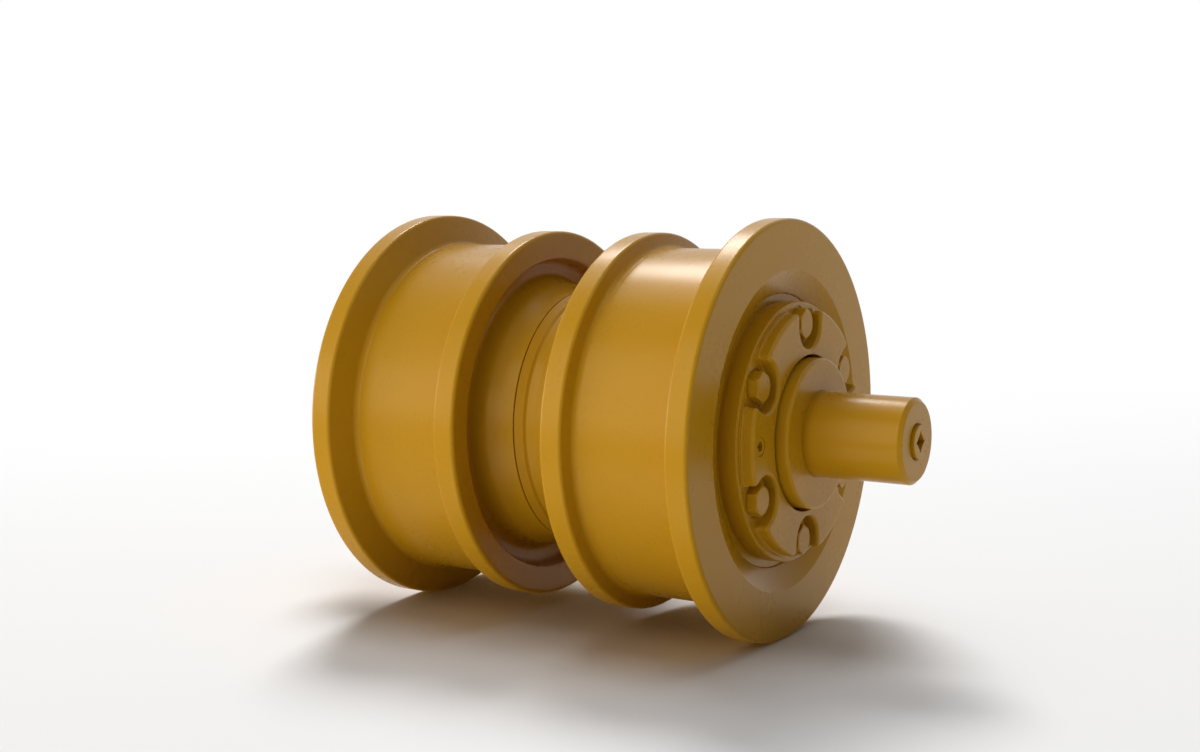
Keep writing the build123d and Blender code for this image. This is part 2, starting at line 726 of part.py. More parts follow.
# Pieces that the roller has once
SINGLE_PIECES = {
    "centre_weld": centre_weld(),
    "shaft": shaft(),
    "shaft_plug": shaft_plug(),
}
for name, piece in SINGLE_PIECES.items():
    piece.part.label = name
    export_step(piece.part, f"parts/{name}.step")
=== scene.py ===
import json
from math import ceil, cos, pi, radians, sin, tan

import bmesh
import bpy
import numpy as np
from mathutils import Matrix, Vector
from mathutils.geometry import tessellate_polygon


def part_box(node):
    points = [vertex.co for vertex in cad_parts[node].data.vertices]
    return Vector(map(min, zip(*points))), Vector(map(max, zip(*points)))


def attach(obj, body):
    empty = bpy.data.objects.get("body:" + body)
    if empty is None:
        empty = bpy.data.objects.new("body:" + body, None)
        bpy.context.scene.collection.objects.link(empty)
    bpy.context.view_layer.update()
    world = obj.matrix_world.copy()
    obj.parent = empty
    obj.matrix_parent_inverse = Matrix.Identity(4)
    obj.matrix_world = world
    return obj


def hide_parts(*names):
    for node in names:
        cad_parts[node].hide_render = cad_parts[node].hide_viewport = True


# Double flange track roller in satin ochre paint, on a pale studio floor.
# Lengths are in millimetres unless a name says otherwise. The shaft lies along
# Y, the end with the oil plug points to -Y, and Z is up. A station is the
# distance of a section from the middle plane, towards the end it belongs to.
# Every painted piece stands for its CAD node, with the rounds that paint shows.

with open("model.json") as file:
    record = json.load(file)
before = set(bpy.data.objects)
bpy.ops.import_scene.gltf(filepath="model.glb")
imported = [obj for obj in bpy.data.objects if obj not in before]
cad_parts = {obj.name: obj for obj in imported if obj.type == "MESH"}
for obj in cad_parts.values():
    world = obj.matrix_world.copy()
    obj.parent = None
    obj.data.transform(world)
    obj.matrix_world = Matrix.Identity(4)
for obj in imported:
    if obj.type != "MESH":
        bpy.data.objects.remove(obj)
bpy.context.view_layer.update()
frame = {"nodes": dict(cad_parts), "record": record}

MM = 0.001
X, Y = 0, 1
ENDS = {"plug_end": -1, "blind_end": 1}


def reach(node, axis):
    """Furthest distance of a CAD node from the roller's middle along an axis."""
    low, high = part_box(node)
    return max(abs(low[axis]), abs(high[axis])) / MM


# Sizes that the frame gives
FLANGE_RADIUS = reach("shell_half_plug_end", X)
SHELL_HALF_LENGTH = reach("shell_half_plug_end", Y)
WELD_RADIUS = reach("centre_weld", X)
WELD_HALF_WIDTH = reach("centre_weld", Y)
COVER_RADIUS = reach("end_cover_plug_end", X)
PAD_FRONT = reach("end_cover_plug_end", Y)
BOLT_FRONT = reach("cover_bolts_plug_end", Y)
JACKING_SCREW_FRONT = reach("jacking_screws_plug_end", Y)
COLLAR_RADIUS = reach("collar_plug_end", X)
COLLAR_FRONT = reach("collar_plug_end", Y)
SHAFT_HALF_LENGTH = reach("shaft", Y)
THRUST_FLANGE_RADIUS = reach("shaft", X)
PLUG_RADIUS = reach("shaft_plug", X)
PLUG_FRONT = reach("shaft_plug", Y)

# How finely surfaces are divided
TURN_STEPS = 360
SMALL_TURN_STEPS = 72
ROUND_STEP = radians(9)
ROUND_LEAST_STEPS = 3
HOLD = 0.3
SHARP_EDGE = radians(28)
MERGE_DISTANCE = 0.002

# Shell: flanges and treads
INNER_FLANGE_RADIUS = 174.0
TREAD_RADIUS = 160.0
FLANGE_RIM = 20.7
INNER_FLANGE_STATION = 44.8
INNER_FLANGE_RIM = 21.7
FLANGE_TAPER = radians(20)
RIM_ROUND = 3.5
TREAD_ROUND = 6.0

# Shell: the waist between the inner flanges
WAIST_EDGE_RADIUS = 148.0
WAIST_EDGE_STATION = 47.8
WAIST_EDGE_ROUND = 3.0
POCKET_TOP_RADIUS = 145.4
POCKET_FLOOR_RADIUS = 129.4
POCKET_STATION = 65.1
POCKET_ROUND = 7.4
SHOULDER_RADIUS = 125.0
SHOULDER_STATION = 43.0
SHOULDER_ROUND = 30.0
DIP_RADIUS = 119.4
DIP_STATION = 30.4
DIP_ROUND = 58.0
BAND_RADIUS = 118.5
BAND_STATION = 18.9
SCRIBE_WIDTH = 1.2
SCRIBE_DEPTH = 2.4
SCRIBE_EDGE_ROUND = 0.2

# Shell: weld root and bore
WELD_FLOOR_RADIUS = 112.7
WELD_FLOOR_RISE = 0.4
WELD_FLOOR_ROUND = 20.0
WELD_WALL = 2.2
WELD_FOOT_ROUND = 2.0
WELD_ROOT_RADIUS = 88.0
WELD_ROOT_HALF_WIDTH = 2.0
SHELL_BORE_RADIUS = 82.0

# Shell: recess round the cover
RECESS_EDGE_RADIUS = 143.1
RECESS_EDGE_ROUND = 0.3
RECESS_BROW_RADIUS = 135.0
RECESS_BROW_STATION = 191.9
RECESS_BROW_ROUND = 45.0
RECESS_STEP_RADIUS = 122.6
RECESS_STEP_STATION = 185.9
RECESS_FOOT_RADIUS = 121.6
RECESS_FLOOR = 184.5
COVER_SEAT = 188.4
SEAT_RADIUS = 114.0

# End cover
COVER_FRONT = 203.1
STEP_FRONT = 206.1
STEP_RADIUS = 111.0
PAD_RADIUS = 109.2
COVER_BORE_RADIUS = 69.0
COVER_RIM_ROUND = 1.8
STEP_ROUND = 1.4
STEP_FOOT_ROUND = 0.3
PAD_ROUND = 3.0
PAD_CORNER_ROUND = 3.8
PAD_FOOT_ROUND = 1.2
PAD_BORE_ROUND = 1.0
BOLT_POCKET_RADIUS = 21.5
SPOTFACE_RADIUS = 15.6
SPOTFACE_DEPTH = 1.0
SPOTFACE_ROUND = 0.3
SPOTFACE_EDGE_ROUND = 0.2
SPIGOT_RADIUS = 81.95
SPIGOT_END = 27.2
SPIGOT_ROUND = 1.0
BUSHING_SEAT_RADIUS = 52.98
SEAL_GROOVE_RADIUS = 77.8
SEAL_GROOVE_STATION = 166.4
SEAL_GROOVE_HALF_WIDTH = 2.4
SEAL_POCKET_FLOOR = 170.15
SEAL_POCKET_MOUTH = 185.15
SEAL_POCKET_FLOOR_RADIUS = 60.6
SEAL_POCKET_MOUTH_RADIUS = 63.0

# End cover: how finely the pad is divided, round its outline and up its wall
PAD_SECTOR = radians(30)
POCKET_STEPS = 30
POCKET_SIDE_STEPS = 6
PAD_CORNER_STEPS = 8
PAD_RIM_STEPS = 16
FOOT_ROWS = 5
STEP_ROUND_ROWS = 6
PAD_ROUND_ROWS = 10
POCKET_WALL_ROWS = FOOT_ROWS + STEP_ROUND_ROWS + 1

# Cover bolts and jacking screws
BOLT_CIRCLE = 96.0
BOLT_ANGLES = np.radians(90 + 60 * np.arange(6))
BOLT_HEAD_FLATS = 24.0
BOLT_FLAT_ANGLES = np.radians([30, 90, 150])
BOLT_HEAD_HEIGHT = 10.0
BOLT_HEAD_CHAMFER = radians(30)
BOLT_FACE_RADIUS = 11.3
BOLT_CORNER_SHARPNESS = 60
BOLT_STEPS = 240
BOLT_LENGTH = 45.0
SCREW_RADIUS = 8.0
SCREW_TIP_CHAMFER = 1.5
JACKING_SCREW_ANGLES = np.radians([0, 180])
JACKING_SCREW_LENGTH = 25.0
JACKING_SCREW_RADIUS = 7.95
JACKING_SCREW_HOLE_RADIUS = 8.3
JACKING_SCREW_EDGE = 0.2
JACKING_SOCKET_FLATS = 8.0
JACKING_SOCKET_DEPTH = 8.0
JACKING_SOCKET_ROUND = 0.3
JACKING_SOCKET_CORNERS = np.radians(60 * np.arange(6))

# Collar
COLLAR_BORE_RADIUS = 38.0
COLLAR_ROUND = 3.0
COLLAR_BORE_ROUND = 0.5
COLLAR_RIM = 187.65
COLLAR_RIM_ROUND = 0.5
COLLAR_POCKET_FLOOR = 202.65
COLLAR_HUB_RADIUS = 48.0
COLLAR_INBOARD = 196.3

# Shaft and oil plug
SHAFT_END_RADIUS = 37.5
SHAFT_END_CHAMFER = 3.5
SHAFT_EDGE_ROUND = 0.6
COLLAR_SEAT_END = 227.1
JOURNAL_RADIUS = 45.0
JOURNAL_CHAMFER = 2.0
THRUST_FLANGE_HALF_WIDTH = 18.7
THRUST_FLANGE_ROUND = 1.0
PLUG_LENGTH = 26.0
PLUG_GAP = 0.4
PLUG_MOUTH_CHAMFER = 1.6
PLUG_MOUTH_ROUND = 0.3
PLUG_EDGE = 0.8
PLUG_SOCKET_FLATS = 12.7
PLUG_SOCKET_DEPTH = 12.0
PLUG_SOCKET_CORNERS = np.radians(90 * np.arange(4))
PLUG_SOCKET_RELIEF = 1.3
PLUG_RELIEF_ANGLES = np.radians(np.linspace(-100, 100, 15))
CENTRE_DRILL_RADIUS = 6.0
CENTRE_DRILL_DEPTH = 10.4
CENTRE_DRILL_ROUND = 0.3


def rounded(corners, closed=True):
    """Outline through corners (a, b, rounding). Each rounded corner becomes an arc tangent to
    both of its sides, swept from one tangent point to the other about the arc's centre, and each
    straight side keeps a point HOLD away from each arc, or a third of a shorter side, so that the
    side shades flat."""
    corners = np.array(corners, float)
    count = len(corners)
    points = corners[:, :2]
    ahead = np.roll(points, -1, axis=0) - points
    length = np.linalg.norm(ahead, axis=1)
    onward = ahead / length[:, None]
    backward = -np.roll(onward, 1, axis=0)
    half_angle = np.arccos(np.clip((onward * backward).sum(1), -1, 1)) / 2
    setback = corners[:, 2] / np.tan(half_angle)
    spare = length - setback - np.roll(setback, -1)
    hold_ahead = np.minimum(HOLD, spare / 3)
    hold_behind = np.roll(hold_ahead, 1)
    outline = []
    for i, rounding in enumerate(corners[:, 2]):
        inner_corner = closed or 0 < i < count - 1
        if rounding == 0 or not inner_corner:
            outline.append(points[i][None])
            continue
        middle = onward[i] + backward[i]
        middle /= np.linalg.norm(middle)
        centre = points[i] + middle * rounding / sin(half_angle[i])
        start = points[i] + backward[i] * setback[i]
        end = points[i] + onward[i] * setback[i]
        turn = np.pi - 2 * half_angle[i]
        steps = max(ROUND_LEAST_STEPS, ceil(turn / ROUND_STEP))
        share = np.linspace(0, 1, steps + 1)[:, None]
        arms = np.sin((1 - share) * turn) * (start - centre) + np.sin(share * turn) * (end - centre)
        outline.append((start + backward[i] * hold_behind[i])[None])
        outline.append(centre + arms / sin(turn))
        outline.append((end + onward[i] * hold_ahead[i])[None])
    return np.concatenate(outline)


def lattice(points, wrap_rows=False):
    """Faces between neighbours of a grid of points, rows by columns, whose columns close."""
    rows, columns = points.shape[:2]
    index = np.arange(rows * columns).reshape(rows, columns)
    onward = np.roll(index, -1, axis=1)
    below = np.roll(index, -1, axis=0)
    below_onward = np.roll(below, -1, axis=1)
    faces = np.stack([index, onward, below_onward, below], -1)
    if not wrap_rows:
        faces = faces[:-1]
    return points.reshape(-1, 3), faces.reshape(-1, 4)


def turned(section, end, steps=TURN_STEPS, closed=True, centre=(0, 0)):
    """Section (radius, station) turned round an axis along Y at a centre (x, z). A point goes to
    (x + radius cos u, end * station, z + radius sin u), with u all the way round."""
    u = np.linspace(0, 2 * np.pi, steps, endpoint=False)
    radius, station = section[:, :1], section[:, 1:]
    x = centre[0] + radius * np.cos(u)
    z = centre[1] + radius * np.sin(u)
    y = end * station + 0 * u
    return lattice(np.stack([x, y, z], -1), wrap_rows=closed)


def circle(radius, steps=TURN_STEPS, centre=(0, 0)):
    """Loop of points (x, z) on a circle, at the angles that turned() uses."""
    u = np.linspace(0, 2 * np.pi, steps, endpoint=False)
    return np.stack([centre[0] + radius * np.cos(u), centre[1] + radius * np.sin(u)], -1)


def flat(station, end, *loops):
    """Flat face across the shaft inside the first loop of points (x, z) and outside the others."""
    triangles = tessellate_polygon([[Vector((x, z, 0)) for x, z in loop] for loop in loops])
    across = np.concatenate(loops)
    y = np.full(len(across), end * station)
    return np.stack([across[:, 0], y, across[:, 1]], -1), np.array(triangles)


def around(points, angle):
    """Points (x, z) turned about the shaft by an angle: a rotation of the plane."""
    x, z = points[..., 0], points[..., 1]
    return np.stack([x * cos(angle) - z * sin(angle), x * sin(angle) + z * cos(angle)], -1)


def on_bolt_circle(angle):
    """Centre (x, z) of a hole on the bolt circle."""
    return BOLT_CIRCLE * cos(angle), BOLT_CIRCLE * sin(angle)


def piece(name, surfaces, material, body, node):
    """Object of closed surfaces in millimetres that stands for a CAD node. Points that meet are
    merged, faces point outwards, and only edges sharper than SHARP_EDGE stay sharp."""
    offsets = np.cumsum([0] + [len(points) for points, faces in surfaces])
    points = np.concatenate([points for points, faces in surfaces]) * MM
    faces = []
    for offset, (_, some) in zip(offsets, surfaces):
        faces += (some + offset).tolist()
    mesh = bpy.data.meshes.new(name)
    mesh.from_pydata(points.tolist(), [], faces)
    welded = bmesh.new()
    welded.from_mesh(mesh)
    bmesh.ops.remove_doubles(welded, verts=welded.verts, dist=MERGE_DISTANCE * MM)
    bmesh.ops.recalc_face_normals(welded, faces=welded.faces)
    welded.to_mesh(mesh)
    welded.free()
    mesh.shade_smooth()
    mesh.set_sharp_from_angle(angle=SHARP_EDGE)
    mesh.materials.append(material)
    made = bpy.data.objects.new(name, mesh)
    bpy.context.scene.collection.objects.link(made)
    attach(made, body)
    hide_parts(node)
    return made


def shell_section():
    """Section of one shell half, from the cover's seat outwards and back along the bore."""
    rim_station = SHELL_HALF_LENGTH - FLANGE_RIM
    inner_rim_station = INNER_FLANGE_STATION + INNER_FLANGE_RIM
    tread_foot = rim_station - (FLANGE_RADIUS - TREAD_RADIUS) * tan(FLANGE_TAPER)
    inner_foot = inner_rim_station + (INNER_FLANGE_RADIUS - TREAD_RADIUS) * tan(FLANGE_TAPER)
    groove_near = BAND_STATION + SCRIBE_WIDTH / 2
    groove_far = BAND_STATION - SCRIBE_WIDTH / 2
    return rounded([
        (SHELL_BORE_RADIUS, COVER_SEAT, 0),
        (SEAT_RADIUS, COVER_SEAT, 0),
        (SEAT_RADIUS, RECESS_FLOOR, 0),
        (RECESS_FOOT_RADIUS, RECESS_FLOOR, 0),
        (RECESS_STEP_RADIUS, RECESS_STEP_STATION, 0),
        (RECESS_BROW_RADIUS, RECESS_BROW_STATION, RECESS_BROW_ROUND),
        (RECESS_EDGE_RADIUS, SHELL_HALF_LENGTH, RECESS_EDGE_ROUND),
        (FLANGE_RADIUS, SHELL_HALF_LENGTH, RIM_ROUND),
        (FLANGE_RADIUS, rim_station, RIM_ROUND),
        (TREAD_RADIUS, tread_foot, TREAD_ROUND),
        (TREAD_RADIUS, inner_foot, TREAD_ROUND),
        (INNER_FLANGE_RADIUS, inner_rim_station, RIM_ROUND),
        (INNER_FLANGE_RADIUS, INNER_FLANGE_STATION, RIM_ROUND),
        (WAIST_EDGE_RADIUS, WAIST_EDGE_STATION, WAIST_EDGE_ROUND),
        (POCKET_TOP_RADIUS, POCKET_STATION, POCKET_ROUND),
        (POCKET_FLOOR_RADIUS, POCKET_STATION, POCKET_ROUND),
        (SHOULDER_RADIUS, SHOULDER_STATION, SHOULDER_ROUND),
        (DIP_RADIUS, DIP_STATION, DIP_ROUND),
        (BAND_RADIUS, groove_near, SCRIBE_EDGE_ROUND),
        (BAND_RADIUS - SCRIBE_DEPTH, groove_near, 0),
        (BAND_RADIUS - SCRIBE_DEPTH, groove_far, 0),
        (BAND_RADIUS, groove_far, SCRIBE_EDGE_ROUND),
        (WELD_RADIUS, WELD_HALF_WIDTH, 0),
        (WELD_ROOT_RADIUS, WELD_ROOT_HALF_WIDTH, 0),
        (WELD_ROOT_RADIUS, 0, 0),
        (SHELL_BORE_RADIUS, 0, 0),
    ])


def weld_section():
    """Section of the weld ring: a channel with sloping walls and a faintly hollow floor."""
    wall_foot = WELD_HALF_WIDTH - WELD_WALL
    foot_radius = WELD_FLOOR_RADIUS + WELD_FLOOR_RISE
    return rounded([
        (WELD_RADIUS, WELD_HALF_WIDTH, 0),
        (foot_radius, wall_foot, WELD_FOOT_ROUND),
        (WELD_FLOOR_RADIUS, 0, WELD_FLOOR_ROUND),
        (foot_radius, -wall_foot, WELD_FOOT_ROUND),
        (WELD_RADIUS, -WELD_HALF_WIDTH, 0),
        (WELD_ROOT_RADIUS, -WELD_ROOT_HALF_WIDTH, 0),
        (WELD_ROOT_RADIUS, WELD_ROOT_HALF_WIDTH, 0),
    ])


def pad_twelfth(rim):
    """Outline of the pad for 30 degrees from the middle of one bolt pocket, on the first axis: an
    arc of the pocket, its straight wall, a rounded corner and an arc of the rim, with the rim's
    radius given row by row. Returns points and normals (rows, columns, 2) and one weight for
    each column, 0 on the pocket and 1 on the rim, with a smooth step over the corner."""
    on_pocket, on_wall, on_corner, on_rim = (
        np.linspace(0, 1, steps, endpoint=False)
        for steps in (POCKET_STEPS, POCKET_SIDE_STEPS, PAD_CORNER_STEPS, PAD_RIM_STEPS)
    )
    corner_z = BOLT_POCKET_RADIUS + PAD_CORNER_ROUND
    corner_x = np.sqrt((rim - PAD_CORNER_ROUND) ** 2 - corner_z ** 2)
    corner_end = np.arctan2(corner_z, corner_x)
    columns = np.ones_like(rim)
    pocket_turn = np.pi * (1 - on_pocket / 2) * columns
    corner_turn = on_corner * (corner_end + np.pi / 2) - np.pi / 2
    rim_turn = corner_end + on_rim * (PAD_SECTOR - corner_end)
    pocket = np.stack([np.cos(pocket_turn), np.sin(pocket_turn)], -1)
    corner = np.stack([np.cos(corner_turn), np.sin(corner_turn)], -1)
    rim_normal = np.stack([np.cos(rim_turn), np.sin(rim_turn)], -1)
    wall_x = BOLT_CIRCLE + on_wall * (corner_x - BOLT_CIRCLE)
    wall = np.stack([wall_x, BOLT_POCKET_RADIUS + 0 * wall_x], -1)
    wall_normal = np.stack([0 * wall_x, 0 * wall_x - 1], -1)
    corner_centre = np.stack([corner_x, corner_z + 0 * corner_x], -1)
    points = np.concatenate([
        pocket * BOLT_POCKET_RADIUS + (BOLT_CIRCLE, 0),
        wall,
        corner * PAD_CORNER_ROUND + corner_centre,
        rim_normal * rim[..., None],
    ], 1)
    normals = np.concatenate([-pocket, wall_normal, corner, rim_normal], 1)
    smooth_step = on_corner * on_corner * (3 - 2 * on_corner)
    weight = np.concatenate([0 * on_pocket, 0 * on_wall, smooth_step, 0 * on_rim + 1])
    return points, normals, weight


def corner_arc(corner, arrive, leave, steps):
    """Quarter ellipse that rounds a corner from corner + arrive to corner + leave:
    corner + arrive (1 - sin a) + leave (1 - cos a), with a from 0 to 90 degrees."""
    a = np.linspace(0, np.pi / 2, steps)[:, None]
    return corner + (1 - np.sin(a)) * arrive + (1 - np.cos(a)) * leave


def pad_wall(end):
    """Wall of the pad from its foot on the cover's front to its rounded top edge. The rim's rows
    are (radius, station), with the step ring under the pad. The pocket's rows are (inset,
    station), and a point moves back from the outline by its inset. Columns mix the two."""
    step_foot = ((STEP_FOOT_ROUND, 0), (0, STEP_FOOT_ROUND), FOOT_ROWS)
    step_edge = ((0, -STEP_ROUND), (-STEP_ROUND, 0), STEP_ROUND_ROWS)
    rim_edge = ((0, -PAD_ROUND), (-PAD_ROUND, 0), PAD_ROUND_ROWS)
    pocket_foot = ((-PAD_FOOT_ROUND, 0), (0, PAD_FOOT_ROUND), FOOT_ROWS)
    pocket_edge = ((0, -PAD_ROUND), (PAD_ROUND, 0), PAD_ROUND_ROWS)
    below_edge = PAD_FRONT - PAD_ROUND - HOLD
    rim_rows = np.concatenate([
        [(STEP_RADIUS + STEP_FOOT_ROUND + HOLD, COVER_FRONT)],
        corner_arc((STEP_RADIUS, COVER_FRONT), *step_foot),
        corner_arc((STEP_RADIUS, STEP_FRONT), *step_edge),
        corner_arc((PAD_RADIUS, STEP_FRONT), *step_foot),
        [(PAD_RADIUS, below_edge)],
        corner_arc((PAD_RADIUS, PAD_FRONT), *rim_edge),
        [(PAD_RADIUS - PAD_ROUND - HOLD, PAD_FRONT)],
    ])
    rise = np.linspace(COVER_FRONT + PAD_FOOT_ROUND, below_edge, POCKET_WALL_ROWS + 1)[1:]
    pocket_rows = np.concatenate([
        [(-PAD_FOOT_ROUND - HOLD, COVER_FRONT)],
        corner_arc((0, COVER_FRONT), *pocket_foot),
        np.stack([0 * rise, rise], -1),
        corner_arc((0, PAD_FRONT), *pocket_edge),
        [(PAD_ROUND + HOLD, PAD_FRONT)],
    ])
    points, normals, weight = pad_twelfth(rim_rows[:, :1])
    inset = (1 - weight) * pocket_rows[:, :1]
    station = weight * rim_rows[:, 1:] + (1 - weight) * pocket_rows[:, 1:]
    half = points - inset[..., None] * normals
    mirrored = half[:, :0:-1] * (1, -1)
    outline = np.concatenate([mirrored, half], 1)
    height = np.concatenate([station[:, :0:-1], station], 1)
    loop = np.concatenate([around(outline, angle) for angle in BOLT_ANGLES], 1)
    heights = np.tile(height, len(BOLT_ANGLES))
    return np.stack([loop[..., 0], end * heights, loop[..., 1]], -1)


def cover_surfaces(end):
    """End cover: turned back and spigot, flat front with spotfaces, and a pad with bolt pockets."""
    back = rounded([
        (COVER_RADIUS - COVER_RIM_ROUND - HOLD, COVER_FRONT, 0),
        (COVER_RADIUS, COVER_FRONT, COVER_RIM_ROUND),
        (COVER_RADIUS, COVER_SEAT, 0),
        (SPIGOT_RADIUS, COVER_SEAT, 0),
        (SPIGOT_RADIUS, SEAL_GROOVE_STATION + SEAL_GROOVE_HALF_WIDTH, 0),
        (SEAL_GROOVE_RADIUS, SEAL_GROOVE_STATION + SEAL_GROOVE_HALF_WIDTH, 0),
        (SEAL_GROOVE_RADIUS, SEAL_GROOVE_STATION - SEAL_GROOVE_HALF_WIDTH, 0),
        (SPIGOT_RADIUS, SEAL_GROOVE_STATION - SEAL_GROOVE_HALF_WIDTH, 0),
        (SPIGOT_RADIUS, SPIGOT_END, SPIGOT_ROUND),
        (BUSHING_SEAT_RADIUS, SPIGOT_END, 0),
        (BUSHING_SEAT_RADIUS, SEAL_POCKET_FLOOR, 0),
        (SEAL_POCKET_FLOOR_RADIUS, SEAL_POCKET_FLOOR, 0),
        (SEAL_POCKET_MOUTH_RADIUS, SEAL_POCKET_MOUTH, 0),
        (COVER_BORE_RADIUS, SEAL_POCKET_MOUTH, 0),
        (COVER_BORE_RADIUS, PAD_FRONT, PAD_BORE_ROUND),
        (COVER_BORE_RADIUS + PAD_BORE_ROUND + HOLD, PAD_FRONT, 0),
    ], closed=False)
    wall = pad_wall(end)
    spotface = rounded([
        (SPOTFACE_RADIUS + SPOTFACE_ROUND, COVER_FRONT, 0),
        (SPOTFACE_RADIUS, COVER_FRONT, SPOTFACE_EDGE_ROUND),
        (SPOTFACE_RADIUS, COVER_FRONT - SPOTFACE_DEPTH, 0),
        (0, COVER_FRONT - SPOTFACE_DEPTH, 0),
    ], closed=False)
    screw_hole = np.array([
        (JACKING_SCREW_HOLE_RADIUS, PAD_FRONT),
        (JACKING_SCREW_HOLE_RADIUS, JACKING_SCREW_FRONT - JACKING_SCREW_LENGTH),
        (0, JACKING_SCREW_FRONT - JACKING_SCREW_LENGTH),
    ])
    bolts = [on_bolt_circle(a) for a in BOLT_ANGLES]
    screws = [on_bolt_circle(a) for a in JACKING_SCREW_ANGLES]
    front = flat(
        COVER_FRONT, end, circle(back[0, 0]), wall[0][:, [0, 2]],
        *(circle(spotface[0, 0], SMALL_TURN_STEPS, centre) for centre in bolts),
    )
    top = flat(
        PAD_FRONT, end, wall[-1][:, [0, 2]], circle(back[-1, 0]),
        *(circle(JACKING_SCREW_HOLE_RADIUS, SMALL_TURN_STEPS, centre) for centre in screws),
    )
    surfaces = [turned(back, end, closed=False), lattice(wall), front, top]
    surfaces += [turned(spotface, end, SMALL_TURN_STEPS, False, centre) for centre in bolts]
    surfaces += [turned(screw_hole, end, SMALL_TURN_STEPS, False, centre) for centre in screws]
    return surfaces


def bolt_surfaces(end):
    """Six hexagon bolts. Round a head the radius is half the flats over the p-norm of the
    cosines of the angles to the three pairs of flats, which rounds the corners a little. Its
    flanks end where the chamfer's cone meets them, at front - (radius - face radius) tan 30."""
    u = np.linspace(0, 2 * np.pi, BOLT_STEPS, endpoint=False)
    cosines = np.abs(np.cos(u[:, None] - BOLT_FLAT_ANGLES))
    radius = BOLT_HEAD_FLATS / 2 / np.linalg.norm(cosines, BOLT_CORNER_SHARPNESS, axis=1)
    direction = np.stack([np.cos(u), np.sin(u)], -1)
    outline = direction * radius[:, None]
    seat = BOLT_FRONT - BOLT_HEAD_HEIGHT
    flank_top = BOLT_FRONT - (radius - BOLT_FACE_RADIUS) * tan(BOLT_HEAD_CHAMFER)
    tip = seat - BOLT_LENGTH
    tip_radius = SCREW_RADIUS - SCREW_TIP_CHAMFER
    rows = [
        (0 * outline, tip),
        (direction * tip_radius, tip),
        (direction * SCREW_RADIUS, tip + SCREW_TIP_CHAMFER),
        (direction * SCREW_RADIUS, seat),
        (outline, seat),
        (outline, flank_top),
        (direction * BOLT_FACE_RADIUS, BOLT_FRONT),
        (0 * outline, BOLT_FRONT),
    ]
    across_rows = np.stack([across_row for across_row, _ in rows])
    stations = np.stack([station + 0 * radius for _, station in rows])
    surfaces = []
    for angle in BOLT_ANGLES:
        placed = around(across_rows + (BOLT_CIRCLE, 0), angle)
        surfaces.append(lattice(np.stack([placed[..., 0], end * stations, placed[..., 1]], -1)))
    return surfaces


def socket_screw(front, length, radius, edge, socket, depth, end, centre=(0, 0)):
    """Screw with a socket in its face: a turned outside, a flat face between it and the socket's
    outline, the socket's walls and its floor."""
    outside = rounded([
        (0, front - length, 0),
        (radius, front - length, edge),
        (radius, front, edge),
        (radius - edge - HOLD, front, 0),
    ], closed=False)
    outline = socket + centre
    walls = np.stack([
        np.stack([outline[:, 0], np.full(len(outline), end * station), outline[:, 1]], -1)
        for station in (front, front - depth)
    ])
    return [
        turned(outside, end, SMALL_TURN_STEPS, False, centre),
        flat(front, end, circle(outside[-1, 0], SMALL_TURN_STEPS, centre), outline),
        lattice(walls),
        flat(front - depth, end, outline),
    ]


def jacking_screw_surfaces(end):
    """The two hexagon socket screws of one cover."""
    corner = JACKING_SOCKET_FLATS / 2 / cos(radians(30))
    socket = rounded([
        (corner * cos(a), corner * sin(a), JACKING_SOCKET_ROUND) for a in JACKING_SOCKET_CORNERS
    ])
    surfaces = []
    for angle in JACKING_SCREW_ANGLES:
        surfaces += socket_screw(
            JACKING_SCREW_FRONT, JACKING_SCREW_LENGTH, JACKING_SCREW_RADIUS, JACKING_SCREW_EDGE,
            socket, JACKING_SOCKET_DEPTH, end, on_bolt_circle(angle),
        )
    return surfaces


def plug_surfaces(end):
    """Oil plug, whose square socket has a round relief in each corner."""
    corner = PLUG_SOCKET_FLATS / 2 / cos(radians(45))
    relief_centre = corner - PLUG_SOCKET_RELIEF
    relief = np.stack([
        relief_centre + PLUG_SOCKET_RELIEF * np.cos(PLUG_RELIEF_ANGLES),
        PLUG_SOCKET_RELIEF * np.sin(PLUG_RELIEF_ANGLES),
    ], -1)
    socket = np.concatenate([around(relief, angle) for angle in PLUG_SOCKET_CORNERS])
    return socket_screw(
        PLUG_FRONT, PLUG_LENGTH, PLUG_RADIUS, PLUG_EDGE, socket, PLUG_SOCKET_DEPTH, end
    )


def collar_section():
    """Section of a collar, with its rounded front edge and the pocket of the fixed seal."""
    return rounded([
        (COLLAR_BORE_RADIUS, COLLAR_FRONT, COLLAR_BORE_ROUND),
        (COLLAR_RADIUS, COLLAR_FRONT, COLLAR_ROUND),
        (COLLAR_RADIUS, COLLAR_RIM, COLLAR_RIM_ROUND),
        (SEAL_POCKET_MOUTH_RADIUS, COLLAR_RIM, 0),
        (SEAL_POCKET_FLOOR_RADIUS, COLLAR_POCKET_FLOOR, 0),
        (COLLAR_HUB_RADIUS, COLLAR_POCKET_FLOOR, 0),
        (COLLAR_HUB_RADIUS, COLLAR_INBOARD, 0),
        (COLLAR_BORE_RADIUS, COLLAR_INBOARD, 0),
    ])


